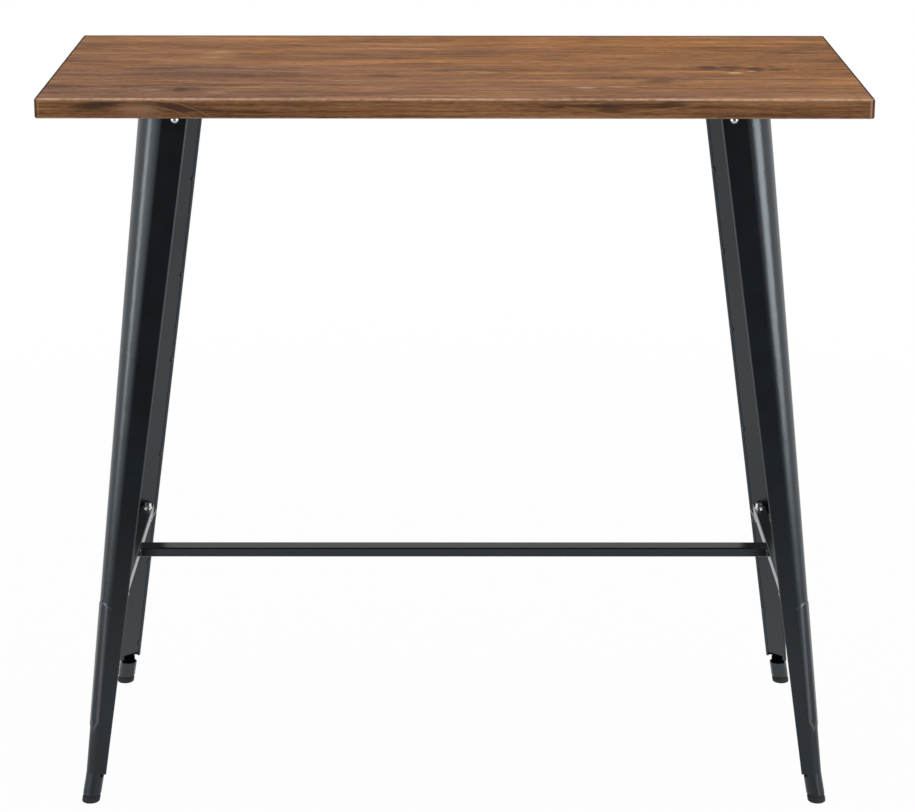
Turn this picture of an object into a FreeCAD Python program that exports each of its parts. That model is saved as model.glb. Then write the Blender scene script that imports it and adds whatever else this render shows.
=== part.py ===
import FreeCAD, Part
import math
import os

# Bar table: a solid wood top on four splayed legs of folded sheet steel, with an H-shaped foot rail.
# Millimetres. The origin is on the floor under the middle of the top, +X along the top, +Z up.

os.makedirs("parts", exist_ok=True)
Vec = FreeCAD.Vector

# Wood top
TABLE_HEIGHT = 1100.0
TOP_LENGTH = 1200.0
TOP_WIDTH = 600.0
TOP_THICKNESS = 29.0
TOP_CORNER_RADIUS = 5.0
TOP_EDGE_RADIUS = 3.0

# Legs: one folded sheet each, two outer flats with a round corner and a diagonal inner face
LEG_SHEET = 1.5
LEG_INSET_X = 134.0
LEG_INSET_Y = 124.0
LEG_LEAN_X = 104.0
LEG_LEAN_Y = 89.0
LEG_WIDTH_TOP = 77.0
LEG_WIDTH_LOW = 31.5
LEG_CORNER_RADIUS_TOP = 38.5
LEG_FOLD_RADIUS = 2.5
LEG_FOLDS_END_Z = 46.0
SEAM_GAP = 1.0
SEAM_SETBACK = 4.0

# Round sleeve at the foot of each leg
SLEEVE_RADIUS = 14.0
SLEEVE_BOTTOM_Z = 13.0
SLEEVE_TOP_Z = 38.5
SLEEVE_FLARE = 2.5
SLEEVE_SLIT = 1.0
OPENING_RISE = 8.0
OPENING_MARGIN = 3.0

# Pressed rib on the round corner
RIB_LOW_Z = 115.0
RIB_LENGTH = 203.0
RIB_RISE = 1.0
RIB_POINT_HEIGHT = 14.0

# Rubber feet: a pad on the floor, a neck under the sleeve and a plug inside it
FOOT_RADIUS = 13.75
FOOT_PAD_HEIGHT = 9.0
FOOT_EDGE_RADIUS = 2.5
FOOT_RIM_RADIUS = 0.75
FOOT_PLUG_DEPTH = 18.0
FOOT_PLUG_CLEARANCE = 0.2

# Corner brackets inside the leg tops
BRACKET_SHEET = 3.0
BRACKET_CLEARANCE = 0.3
BRACKET_EAR_WIDTH = 22.0
BRACKET_EAR_HEIGHT = 40.0
LEG_BOLT_DROP = 23.0

# Wood screws through the brackets
SCREW_DIAMETER = 4.0
SCREW_HEAD_DIAMETER = 8.0
SCREW_HEAD_HEIGHT = 2.5
SCREW_DEPTH_IN_WOOD = 18.0
SCREW_EDGE_DISTANCE = 9.0
SCREW_HEAD_GAP = 1.5
SCREW_CLEARANCE = 0.2

# Dome-headed bolts and weld nuts, M6
BOLT_DIAMETER = 6.0
BOLT_HOLE_CLEARANCE = 0.5
DOME_DIAMETER = 12.0
DOME_HEIGHT = 3.6
SOCKET_FLATS = 4.0
SOCKET_DEPTH = 2.0
NUT_FLATS = 10.0
NUT_HEIGHT = 5.0
BOLT_TAIL = 2.0
THREAD_CLEARANCE = 0.1

# Foot rail: two side rails and a long bar between them, tubes of one height
TUBE_HEIGHT = 15.0
TUBE_WALL = 1.5
TUBE_EDGE_RADIUS = 2.0
RAIL_WIDTH = 20.0
RAIL_BOTTOM_Z = 315.0
RAIL_SETBACK = 3.0
RAIL_END_GAP = 5.0
BAR_DEPTH = 30.0

# Tabs welded to the legs under the rail ends, and the hex flange bolts through them
TAB_SHEET = 3.0
TAB_END_MARGIN = 12.0
TAB_SHOULDER = 5.0
RAIL_BOLT_FROM_END = 22.0
RAIL_BOLT_FROM_INNER_FACE = 7.5
WASHER_DIAMETER = 15.0
WASHER_THICKNESS = 1.5
FLANGE_DIAMETER = 13.0
FLANGE_HEIGHT = 1.6
HEX_HEAD_HEIGHT = 7.0
HEX_HEAD_CHAMFER = 0.8

# Levels and lines that follow from the sizes above
UNDERSIDE_Z = TABLE_HEIGHT - TOP_THICKNESS
RAIL_TOP_Z = RAIL_BOTTOM_Z + TUBE_HEIGHT
RIB_HIGH_Z = RIB_LOW_Z + RIB_LENGTH
LEG_SPAN = UNDERSIDE_Z - LEG_FOLDS_END_Z
HALF_ROOT = math.sqrt(0.5)

# The four legs: name, side along X, side along Y
CORNERS = (
    ("front_left", -1, -1),
    ("front_right", 1, -1),
    ("rear_left", -1, 1),
    ("rear_right", 1, 1),
)


def between(z, low_value, high_value):
    """A size that changes evenly from the end of the folds to the underside of the top."""
    return low_value + (high_value - low_value) * (z - LEG_FOLDS_END_Z) / LEG_SPAN


def outer_x(z):
    """Outer face of a right-hand leg at height z."""
    return TOP_LENGTH / 2 - LEG_INSET_X + LEG_LEAN_X * (UNDERSIDE_Z - z) / UNDERSIDE_Z


def outer_y(z):
    """Outer face of a rear leg at height z."""
    return TOP_WIDTH / 2 - LEG_INSET_Y + LEG_LEAN_Y * (UNDERSIDE_Z - z) / UNDERSIDE_Z


def leg_width(z):
    return between(z, LEG_WIDTH_LOW, LEG_WIDTH_TOP)


def corner_radius(z):
    return between(z, SLEEVE_RADIUS, LEG_CORNER_RADIUS_TOP)


def diagonal_sum(z):
    """X + Y on the outside of a rear right leg's diagonal face at height z."""
    return outer_x(z) + outer_y(z) - leg_width(z) - math.sqrt(2.0) * LEG_FOLD_RADIUS


def polar(centre, radius, degrees):
    """A point at an angle from +X around a centre, at the centre's height."""
    angle = math.radians(degrees)
    return centre + Vec(radius * math.cos(angle), radius * math.sin(angle), 0)


def arc(centre, radius, start, end):
    """A circular edge between two angles, in degrees."""
    middle = polar(centre, radius, (start + end) / 2)
    return Part.Arc(polar(centre, radius, start), middle, polar(centre, radius, end)).toShape()


def line(start, end):
    return Part.LineSegment(start, end).toShape()


def prism(low_points, high_points):
    """A solid with straight sides between two horizontal outlines of as many points."""
    outlines = [Part.makePolygon(points + points[:1]) for points in (low_points, high_points)]
    return Part.makeLoft(outlines, True, True)


def one_solid(shape):
    """The single solid that a cut or a fuse leaves."""
    clean = shape.removeSplitter()
    if len(clean.Solids) != 1:
        raise ValueError("expected one solid, found %d" % len(clean.Solids))
    return clean.Solids[0]


def place(shape, side_x, side_y):
    """Carry a rear right piece to another corner by mirror images."""
    placed = shape
    if side_x < 0:
        placed = placed.mirror(Vec(0, 0, 0), Vec(1, 0, 0))
    if side_y < 0:
        placed = placed.mirror(Vec(0, 0, 0), Vec(0, 1, 0))
    return placed


def hex_prism(flats, height):
    """A hexagon standing on the origin along +Z."""
    corner = flats / math.sqrt(3.0)
    points = [polar(Vec(0, 0, 0), corner, 60.0 * i) for i in range(7)]
    return Part.Face(Part.makePolygon(points)).extrude(Vec(0, 0, height))


def turned(shape, base, direction):
    """Move a piece made on the origin along +Z to a base point and a direction."""
    moved = shape.copy()
    moved.Placement = FreeCAD.Placement(base, FreeCAD.Rotation(Vec(0, 0, 1), direction))
    return moved


def leg_outline(z, inset):
    """The leg's section at height z, moved inwards by inset from its outside."""
    right = outer_x(z) - inset
    back = outer_y(z) - inset
    radius = corner_radius(z) - inset
    fold = LEG_FOLD_RADIUS - inset
    corner = Vec(right - radius, back - radius, z)
    width = leg_width(z)
    fold_y = Vec(outer_x(z) - width + LEG_FOLD_RADIUS, outer_y(z) - LEG_FOLD_RADIUS, z)
    fold_x = Vec(outer_x(z) - LEG_FOLD_RADIUS, outer_y(z) - width + LEG_FOLD_RADIUS, z)
    edges = [
        line(polar(fold_y, fold, 90), polar(corner, radius, 90)),
        arc(corner, radius, 90, 0),
        line(polar(corner, radius, 0), polar(fold_x, fold, 0)),
        arc(fold_x, fold, 0, -135),
        line(polar(fold_x, fold, -135), polar(fold_y, fold, 225)),
        arc(fold_y, fold, 225, 90),
    ]
    return Part.Wire(edges)


def sleeve_centre(z):
    """Axis of the round sleeve: the round corner's own axis at its top, flared out at its foot."""
    flare = SLEEVE_FLARE * (LEG_FOLDS_END_Z - z) / (LEG_FOLDS_END_Z - SLEEVE_BOTTOM_Z)
    return Vec(outer_x(z) - SLEEVE_RADIUS + flare, outer_y(z) - SLEEVE_RADIUS + flare, z)


def sleeve_body(rings):
    """A leaning round solid along the sleeve's axis, through rings of a height and a radius each."""
    circles = [Part.Circle(sleeve_centre(z), Vec(0, 0, 1), radius) for z, radius in rings]
    return Part.makeLoft([Part.Wire(circle.toShape()) for circle in circles], True, True)


def sleeve_tube(radius, low_z, high_z):
    """A leaning round bar along the sleeve's axis."""
    return sleeve_body(((low_z, radius), (high_z, radius)))


def diagonal_box(centre, along_low, along_high, half_width, low_z, high_z):
    """A box whose length runs along the leg's diagonal, outwards from a centre line."""
    box = Part.makeBox(along_high - along_low, 2 * half_width, high_z - low_z)
    box.translate(Vec(along_low, -half_width, 0))
    box.rotate(Vec(0, 0, 0), Vec(0, 0, 1), 45)
    box.translate(Vec(centre.x, centre.y, low_z))
    return box


def rib_panel():
    """The raised panel on the round corner: an arch at its top, a point at its foot."""
    sections = []
    for z in (RIB_LOW_Z, RIB_HIGH_Z):
        corner = Vec(outer_x(z) - corner_radius(z), outer_y(z) - corner_radius(z), z)
        rise = corner_radius(z) + RIB_RISE
        root = corner_radius(z) - LEG_SHEET / 2
        sections.append(Part.Wire([
            arc(corner, rise, 0, 90),
            line(polar(corner, rise, 90), polar(corner, root, 90)),
            arc(corner, root, 90, 0),
            line(polar(corner, root, 0), polar(corner, rise, 0)),
        ]))
    panel = Part.makeLoft(sections, True, True)
    return panel.common(rib_stencil())


def rib_stencil():
    """The rib's outline seen along the diagonal, as a thick plate through the corner."""
    half = HALF_ROOT * (corner_radius(RIB_HIGH_Z) + RIB_RISE)
    reach = 2 * corner_radius(RIB_HIGH_Z)
    across = Vec(-HALF_ROOT, HALF_ROOT, 0)
    outwards = Vec(HALF_ROOT, HALF_ROOT, 0)

    def spot(side, z):
        corner = Vec(outer_x(z) - corner_radius(z), outer_y(z) - corner_radius(z), z)
        return corner.dot(across) * across + Vec(0, 0, z) + across * side

    shoulder_z = RIB_LOW_Z + RIB_POINT_HEIGHT
    spring_z = RIB_HIGH_Z - half
    outline = Part.Wire([
        line(spot(0, RIB_LOW_Z), spot(half, shoulder_z)),
        line(spot(half, shoulder_z), spot(half, spring_z)),
        Part.Arc(spot(half, spring_z), spot(0, RIB_HIGH_Z), spot(-half, spring_z)).toShape(),
        line(spot(-half, spring_z), spot(-half, shoulder_z)),
        line(spot(-half, shoulder_z), spot(0, RIB_LOW_Z)),
    ])
    start = outer_x(RIB_HIGH_Z) * HALF_ROOT + outer_y(RIB_HIGH_Z) * HALF_ROOT - 2 * reach
    plate = Part.Face(outline)
    plate.translate(outwards * start)
    return plate.extrude(outwards * (4 * reach))


def seam_cutter():
    """A thin slot beside the fold of the rear flat, along the whole diagonal face."""
    across = Vec(HALF_ROOT, -HALF_ROOT, 0)
    outwards = Vec(HALF_ROOT, HALF_ROOT, 0)
    outlines = []
    for z in (LEG_FOLDS_END_Z - LEG_SHEET, UNDERSIDE_Z + LEG_SHEET):
        fold = Vec(outer_x(z) - leg_width(z) + LEG_FOLD_RADIUS, outer_y(z) - LEG_FOLD_RADIUS, z)
        start = polar(fold, LEG_FOLD_RADIUS, 225) + across * SEAM_SETBACK
        end = start + across * SEAM_GAP
        depth = outwards * (2 * LEG_SHEET)
        outlines.append([start - depth, end - depth, end + depth, start + depth])
    return prism(*outlines)


def flat_normals():
    """Outward directions of the rear flat and of the right flat, which lean with the leg."""
    return (
        Vec(0, 1, LEG_LEAN_Y / UNDERSIDE_Z).normalize(),
        Vec(1, 0, LEG_LEAN_X / UNDERSIDE_Z).normalize(),
    )


def flat_middle(z):
    """Distance from the leg's outer face to the middle of each flat's straight part."""
    return (leg_width(z) + corner_radius(z)) / 2


def leg_bolt_points():
    """Where the bolts go through the outside of the rear flat and of the right flat."""
    z = UNDERSIDE_Z - LEG_BOLT_DROP
    return (
        Vec(outer_x(z) - flat_middle(z), outer_y(z), z),
        Vec(outer_x(z), outer_y(z) - flat_middle(z), z),
    )


def leg_bolt_holes():
    """Clearance holes through the flat and the bracket's ear behind it."""
    depth = LEG_SHEET + BRACKET_CLEARANCE + BRACKET_SHEET
    holes = []
    for point, normal in zip(leg_bolt_points(), flat_normals()):
        start = point + normal * depth
        radius = (BOLT_DIAMETER + BOLT_HOLE_CLEARANCE) / 2
        holes.append(Part.makeCylinder(radius, 3 * depth, start, normal * -1))
    return holes


def foot_opening():
    """A cut at the foot of the diagonal face, between the folds and over the sleeve's open side."""
    z = LEG_FOLDS_END_Z
    middle = Vec(outer_x(z) - leg_width(z) / 2, outer_y(z) - leg_width(z) / 2, z)
    half = HALF_ROOT * (leg_width(z) - 2 * LEG_FOLD_RADIUS) - OPENING_MARGIN
    return diagonal_box(middle, -3 * LEG_FOLD_RADIUS, 0, half, z, z + OPENING_RISE)


def make_leg():
    """Rear right leg: the folded sheet, its round sleeve, its rib, seam and bolt holes."""
    levels = (LEG_FOLDS_END_Z, UNDERSIDE_Z)
    outside = Part.makeLoft([leg_outline(z, 0) for z in levels], True, True)
    inside = Part.makeLoft([leg_outline(z, LEG_SHEET) for z in levels], True, True)
    sleeve = sleeve_tube(SLEEVE_RADIUS, SLEEVE_BOTTOM_Z, LEG_FOLDS_END_Z)
    sleeve = sleeve.cut(sleeve_tube(SLEEVE_RADIUS - LEG_SHEET, SLEEVE_BOTTOM_Z, LEG_FOLDS_END_Z))
    notch = diagonal_box(sleeve_centre(SLEEVE_TOP_Z), -2 * SLEEVE_RADIUS, 0, 2 * SLEEVE_RADIUS,
                         SLEEVE_TOP_Z, LEG_FOLDS_END_Z)
    slit = diagonal_box(sleeve_centre(SLEEVE_TOP_Z), -2 * SLEEVE_RADIUS, 0, SLEEVE_SLIT / 2,
                        SLEEVE_BOTTOM_Z, LEG_FOLDS_END_Z)
    sleeve = sleeve.cut([notch, slit])
    sheet = outside.cut(inside)
    sheet = sheet.fuse([sleeve, rib_panel()])
    sheet = sheet.cut([seam_cutter(), foot_opening()] + leg_bolt_holes())
    return one_solid(sheet)


def foot_rings():
    """Heights and radii of the pad and the neck, from the rounded floor edge up to the sleeve."""
    rings = []
    for angle in (90.0, 67.5, 45.0, 22.5, 0.0):
        turn = math.radians(angle)
        height = FOOT_EDGE_RADIUS * (1 - math.sin(turn))
        rings.append((height, FOOT_RADIUS - FOOT_EDGE_RADIUS * (1 - math.cos(turn))))
    for angle in (0.0, 45.0, 90.0):
        turn = math.radians(angle)
        height = FOOT_PAD_HEIGHT - FOOT_RIM_RADIUS * (1 - math.sin(turn))
        rings.append((height, FOOT_RADIUS - FOOT_RIM_RADIUS * (1 - math.cos(turn))))
    return rings + [(SLEEVE_BOTTOM_Z, FOOT_RADIUS - FOOT_RIM_RADIUS)]


def make_foot():
    """Rubber foot of the rear right leg, on the sleeve's axis: pad, neck and plug."""
    plug_radius = SLEEVE_RADIUS - LEG_SHEET - FOOT_PLUG_CLEARANCE
    plug = sleeve_tube(plug_radius, SLEEVE_BOTTOM_Z, SLEEVE_BOTTOM_Z + FOOT_PLUG_DEPTH)
    return one_solid(sleeve_body(foot_rings()).fuse(plug))


def bracket_plate_points(z):
    """The bracket's plate inside the leg's section at the underside, from ear end to ear end."""
    gap = LEG_SHEET + BRACKET_CLEARANCE
    right = outer_x(UNDERSIDE_Z)
    back = outer_y(UNDERSIDE_Z)
    width = flat_middle(UNDERSIDE_Z - LEG_BOLT_DROP) + BRACKET_EAR_WIDTH / 2
    radius = LEG_CORNER_RADIUS_TOP
    return [
        Vec(right - width, back - gap, z),
        Vec(right - radius, back - gap, z),
        Vec(right - gap, back - radius, z),
        Vec(right - gap, back - width, z),
    ]


def ear_points(z, along_x):
    """Section of an ear at height z, behind the rear flat, or behind the right flat."""
    middle = flat_middle(UNDERSIDE_Z - LEG_BOLT_DROP)
    face = LEG_SHEET + BRACKET_CLEARANCE
    half = BRACKET_EAR_WIDTH / 2
    centre = UNDERSIDE_Z - LEG_BOLT_DROP
    spans = ((middle - half, face), (middle + half, face), (middle + half, face + BRACKET_SHEET),
             (middle - half, face + BRACKET_SHEET))
    if along_x:
        return [Vec(outer_x(centre) - a, outer_y(z) - b, z) for a, b in spans]
    return [Vec(outer_x(z) - b, outer_y(centre) - a, z) for a, b in spans]


def screw_points():
    """Three screw places under the plate: one beside each weld nut, one near the round corner."""
    z = UNDERSIDE_Z - BRACKET_SHEET
    corners = bracket_plate_points(z)
    right = outer_x(UNDERSIDE_Z)
    back = outer_y(UNDERSIDE_Z)
    head = SCREW_HEAD_DIAMETER / 2 + SCREW_HEAD_GAP
    beside_nut = flat_middle(UNDERSIDE_Z - LEG_BOLT_DROP) - NUT_FLATS / math.sqrt(3.0) - head
    beside_ear = LEG_SHEET + BRACKET_CLEARANCE + BRACKET_SHEET + head
    inwards = Vec(-HALF_ROOT, -HALF_ROOT, 0)
    return [
        Vec(right - beside_nut, back - beside_ear, z),
        Vec(right - beside_ear, back - beside_nut, z),
        (corners[1] + corners[2]) * 0.5 + inwards * SCREW_EDGE_DISTANCE,
    ]


def make_bracket():
    """Corner bracket in the rear right leg top: a plate under the wood and two ears bent down."""
    plate = prism(bracket_plate_points(UNDERSIDE_Z - BRACKET_SHEET), bracket_plate_points(UNDERSIDE_Z))
    low = UNDERSIDE_Z - BRACKET_EAR_HEIGHT
    ears = [prism(ear_points(low, along_x), ear_points(UNDERSIDE_Z, along_x)) for along_x in (True, False)]
    radius = (SCREW_DIAMETER + SCREW_CLEARANCE) / 2
    screw_holes = [Part.makeCylinder(radius, BRACKET_SHEET, point) for point in screw_points()]
    bracket = plate.fuse(ears)
    return one_solid(bracket.cut(screw_holes + leg_bolt_holes()))


def make_screw():
    """Wood screw standing on the origin, its head below: domed head, shank, point."""
    head = Part.makeCylinder(SCREW_HEAD_DIAMETER / 2, SCREW_HEAD_HEIGHT, Vec(0, 0, -SCREW_HEAD_HEIGHT))
    low_edges = [edge for edge in head.Edges if edge.BoundBox.ZMax < -SCREW_HEAD_HEIGHT / 2]
    head = head.makeFillet(SCREW_HEAD_HEIGHT / 2, low_edges)
    length = BRACKET_SHEET + SCREW_DEPTH_IN_WOOD - SCREW_DIAMETER
    shank = Part.makeCylinder(SCREW_DIAMETER / 2, length)
    point = Part.makeCone(SCREW_DIAMETER / 2, SCREW_DIAMETER / 8, SCREW_DIAMETER, Vec(0, 0, length))
    return one_solid(head.fuse([shank, point]))


def bolt_length():
    """From under the dome to past the weld nut."""
    return LEG_SHEET + BRACKET_CLEARANCE + BRACKET_SHEET + NUT_HEIGHT + BOLT_TAIL


def make_dome_bolt():
    """Dome-headed bolt, its head on the origin along +Z and its shank below."""
    rim = DOME_DIAMETER / 2
    arc_radius = (rim * rim + DOME_HEIGHT * DOME_HEIGHT) / (2 * DOME_HEIGHT)
    ball = Part.makeSphere(arc_radius, Vec(0, 0, DOME_HEIGHT - arc_radius))
    head = ball.common(Part.makeCylinder(DOME_DIAMETER, DOME_HEIGHT))
    socket = hex_prism(SOCKET_FLATS, SOCKET_DEPTH)
    socket.translate(Vec(0, 0, DOME_HEIGHT - SOCKET_DEPTH))
    shank = Part.makeCylinder(BOLT_DIAMETER / 2, bolt_length(), Vec(0, 0, -bolt_length()))
    return one_solid(head.cut(socket).fuse(shank))


def make_nut():
    """Hex nut standing on the origin, its hole just clear of the thread."""
    hole = Part.makeCylinder(BOLT_DIAMETER / 2 + THREAD_CLEARANCE, NUT_HEIGHT)
    return one_solid(hex_prism(NUT_FLATS, NUT_HEIGHT).cut(hole))


def make_top():
    """The wood top, its edges rounded, with pilot holes for the bracket screws."""
    corner = Vec(-TOP_LENGTH / 2, -TOP_WIDTH / 2, UNDERSIDE_Z)
    blank = Part.makeBox(TOP_LENGTH, TOP_WIDTH, TOP_THICKNESS, corner)
    upright = [edge for edge in blank.Edges if edge.BoundBox.ZLength > TOP_THICKNESS / 2]
    blank = blank.makeFillet(TOP_CORNER_RADIUS, upright)
    level = [edge for edge in blank.Edges if edge.BoundBox.ZLength < TOP_THICKNESS / 2]
    blank = blank.makeFillet(TOP_EDGE_RADIUS, level)
    radius = (SCREW_DIAMETER + SCREW_CLEARANCE) / 2
    holes = []
    for name, side_x, side_y in CORNERS:
        for point in screw_points():
            spot = Vec(point.x * side_x, point.y * side_y, UNDERSIDE_Z)
            holes.append(Part.makeCylinder(radius, SCREW_DEPTH_IN_WOOD, spot))
    return one_solid(blank.cut(holes))


def tube(length, width):
    """A flat tube along +X from the origin, centred in width and standing on its bottom."""
    outside = Part.makeBox(length, width, TUBE_HEIGHT, Vec(0, -width / 2, 0))
    long_edges = [edge for edge in outside.Edges if edge.BoundBox.XLength > length / 2]
    outside = outside.makeFillet(TUBE_EDGE_RADIUS, long_edges)
    inside = Part.makeBox(length, width - 2 * TUBE_WALL, TUBE_HEIGHT - 2 * TUBE_WALL,
                          Vec(0, TUBE_WALL - width / 2, TUBE_WALL))
    return outside.cut(inside)


def rail_inner_x():
    """Inner face of the right side rail, just outside the legs' inner edges at its height."""
    return outer_x(RAIL_BOTTOM_Z) - leg_width(RAIL_BOTTOM_Z) + RAIL_SETBACK


def rail_end_y(x):
    """Rear end of the right rail, mitred along the leg's diagonal face and short of it."""
    return diagonal_sum(RAIL_TOP_Z) - math.sqrt(2.0) * RAIL_END_GAP - x


def rail_bolt_point(z):
    """Axis of the rear bolt of the right rail."""
    x = rail_inner_x() + RAIL_BOLT_FROM_INNER_FACE
    return Vec(x, rail_end_y(x) - RAIL_BOLT_FROM_END, z)


def bolt_hole(base, depth):
    """A clearance hole for an M6 bolt, upwards from a base point."""
    return Part.makeCylinder((BOLT_DIAMETER + BOLT_HOLE_CLEARANCE) / 2, depth, base)


def make_rail():
    """Right side rail, front to back, its ends mitred, with a bolt hole near each end."""
    inner = rail_inner_x()
    outer = inner + RAIL_WIDTH
    half = rail_end_y(inner)
    rail = tube(2 * half, RAIL_WIDTH)
    rail.rotate(Vec(0, 0, 0), Vec(0, 0, 1), 90)
    rail.translate(Vec((inner + outer) / 2, -half, RAIL_BOTTOM_Z))

    def mitred(z):
        return [Vec(inner, -half, z), Vec(outer, -rail_end_y(outer), z), Vec(outer, rail_end_y(outer), z),
                Vec(inner, half, z)]

    rail = rail.common(prism(mitred(RAIL_BOTTOM_Z), mitred(RAIL_TOP_Z)))
    rear = rail_bolt_point(RAIL_BOTTOM_Z)
    holes = [bolt_hole(Vec(rear.x, rear.y * side, rear.z), TUBE_HEIGHT) for side in (-1, 1)]
    return one_solid(rail.cut(holes))


def make_bar():
    """Long foot bar, welded by its ends between the side rails and level with them."""
    bar = tube(2 * rail_inner_x(), BAR_DEPTH)
    bar.translate(Vec(-rail_inner_x(), 0, RAIL_BOTTOM_Z))
    return one_solid(bar)


def make_tab():
    """Tab under the rear end of the right rail: a plate whose end meets the leg's diagonal face."""
    inner = rail_inner_x()
    outer = inner + RAIL_WIDTH
    bolt = rail_bolt_point(RAIL_BOTTOM_Z)
    front = bolt.y - TAB_END_MARGIN
    shoulder = Vec(inner, bolt.y + TAB_SHOULDER, 0)
    # Where the flat of the diagonal face begins beside the fold, level with the rail's underside
    edge = inner - RAIL_SETBACK + LEG_FOLD_RADIUS * (1 - HALF_ROOT)
    slant = Vec(edge, diagonal_sum(RAIL_BOTTOM_Z) - edge, 0) - shoulder

    def outline(z):
        reach = (diagonal_sum(z) - shoulder.x - shoulder.y) / (slant.x + slant.y)
        return [Vec(inner, front, z), Vec(outer, front, z), Vec(outer, diagonal_sum(z) - outer, z),
                shoulder + slant * reach + Vec(0, 0, z), shoulder + Vec(0, 0, z)]

    low = RAIL_BOTTOM_Z - TAB_SHEET
    plate = prism(outline(low), outline(RAIL_BOTTOM_Z))
    return one_solid(plate.cut(bolt_hole(rail_bolt_point(low), TAB_SHEET)))


def make_washer():
    """Flat washer lying on the origin."""
    disc = Part.makeCylinder(WASHER_DIAMETER / 2, WASHER_THICKNESS)
    return one_solid(disc.cut(bolt_hole(Vec(0, 0, 0), WASHER_THICKNESS)))


def make_rail_bolt():
    """Hex flange bolt standing head up on the origin, its shank below."""
    flange = Part.makeCone(FLANGE_DIAMETER / 2, NUT_FLATS / 2, FLANGE_HEIGHT)
    head = hex_prism(NUT_FLATS, HEX_HEAD_HEIGHT)
    corner = NUT_FLATS / math.sqrt(3.0)
    bevel = Part.makeCone(corner + HEX_HEAD_HEIGHT, corner - HEX_HEAD_CHAMFER, HEX_HEAD_HEIGHT)
    length = WASHER_THICKNESS + TUBE_HEIGHT + TAB_SHEET + NUT_HEIGHT + BOLT_TAIL
    shank = Part.makeCylinder(BOLT_DIAMETER / 2, length, Vec(0, 0, -length))
    return one_solid(head.common(bevel).fuse([flange, shank]))


def every_corner(shapes):
    """Copies of rear right pieces at all four corners, as one group of separate solids."""
    copies = []
    for name, side_x, side_y in CORNERS:
        copies.extend(place(shape, side_x, side_y) for shape in shapes)
    return Part.makeCompound(copies)


def leg_bolts():
    bolt = make_dome_bolt()
    return [turned(bolt, point, normal) for point, normal in zip(leg_bolt_points(), flat_normals())]


def weld_nuts():
    nut = make_nut()
    depth = LEG_SHEET + BRACKET_CLEARANCE + BRACKET_SHEET
    seats = zip(leg_bolt_points(), flat_normals())
    return [turned(nut, point - normal * depth, normal * -1) for point, normal in seats]


def bracket_screws():
    screw = make_screw()
    return [turned(screw, point, Vec(0, 0, 1)) for point in screw_points()]


def rail_nut():
    nut = make_nut()
    nut.translate(rail_bolt_point(RAIL_BOTTOM_Z - TAB_SHEET - NUT_HEIGHT))
    return nut


def rail_washer():
    washer = make_washer()
    washer.translate(rail_bolt_point(RAIL_TOP_Z))
    return washer


def rail_bolt():
    bolt = make_rail_bolt()
    bolt.translate(rail_bolt_point(RAIL_TOP_Z + WASHER_THICKNESS))
    return bolt


def build():
    """Every node of the table by name."""
    nodes = {"tabletop": make_top(), "foot_bar": make_bar()}
    rail = make_rail()
    nodes["side_rail_left"] = place(rail, -1, 1)
    nodes["side_rail_right"] = rail
    repeated = {
        "leg": make_leg(),
        "rubber_foot": make_foot(),
        "top_bracket": make_bracket(),
        "rail_tab": make_tab(),
    }
    for piece, shape in repeated.items():
        for corner, side_x, side_y in CORNERS:
            nodes[piece + "_" + corner] = place(shape, side_x, side_y)
    nodes["leg_bolts"] = every_corner(leg_bolts())
    nodes["bracket_weld_nuts"] = every_corner(weld_nuts())
    nodes["bracket_screws"] = every_corner(bracket_screws())
    nodes["rail_bolts"] = every_corner([rail_bolt()])
    nodes["rail_washers"] = every_corner([rail_washer()])
    nodes["rail_nuts"] = every_corner([rail_nut()])
    return nodes


for node, shape in build().items():
    shape.exportStep("parts/" + node + ".step")
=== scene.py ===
"""Bar table: a stained solid wood top on folded steel legs with a satin charcoal coat.

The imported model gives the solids. This file gives them their finishes, adds the weld beads and the raised
lands on the legs' ribs, and sets up the studio: a pale floor, soft lamps and the camera.
"""

import math

import bpy
import numpy as np
from mathutils import Matrix, Vector


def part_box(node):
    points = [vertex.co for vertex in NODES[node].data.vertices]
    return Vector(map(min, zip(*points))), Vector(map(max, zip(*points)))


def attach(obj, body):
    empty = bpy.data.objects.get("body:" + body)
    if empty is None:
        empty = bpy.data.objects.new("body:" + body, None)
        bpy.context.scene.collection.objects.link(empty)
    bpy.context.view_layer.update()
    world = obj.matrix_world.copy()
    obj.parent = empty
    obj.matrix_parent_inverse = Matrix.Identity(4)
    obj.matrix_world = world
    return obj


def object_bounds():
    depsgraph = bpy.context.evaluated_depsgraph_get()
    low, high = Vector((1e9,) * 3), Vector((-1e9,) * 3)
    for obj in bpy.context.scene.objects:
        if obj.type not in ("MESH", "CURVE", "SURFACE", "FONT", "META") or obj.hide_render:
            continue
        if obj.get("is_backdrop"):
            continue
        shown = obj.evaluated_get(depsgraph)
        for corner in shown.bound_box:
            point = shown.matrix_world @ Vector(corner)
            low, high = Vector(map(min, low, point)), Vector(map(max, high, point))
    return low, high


bl_info = {
    "name": "Bar Table",
    "version": (1, 0, 0),
    "blender": (4, 5, 0),
    "location": "View3D > Sidebar > Bar Table",
    "description": "Finishes, weld beads, rib lands and studio for a wood and steel bar table",
    "category": "Object",
}

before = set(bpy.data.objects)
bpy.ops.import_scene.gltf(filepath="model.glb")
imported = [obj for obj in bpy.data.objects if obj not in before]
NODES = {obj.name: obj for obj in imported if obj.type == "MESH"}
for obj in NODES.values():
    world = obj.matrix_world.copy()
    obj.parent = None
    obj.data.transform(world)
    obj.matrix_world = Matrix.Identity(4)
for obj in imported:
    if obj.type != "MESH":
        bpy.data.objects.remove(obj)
CAD_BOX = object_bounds()
TOP_LOW, TOP_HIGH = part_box("tabletop")


def colour(name, note, value):
    """A colour setting with a picker."""
    return bpy.props.FloatVectorProperty(
        name=name, description=note, subtype="COLOR", size=3, min=0.0, max=1.0, default=value)


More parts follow.
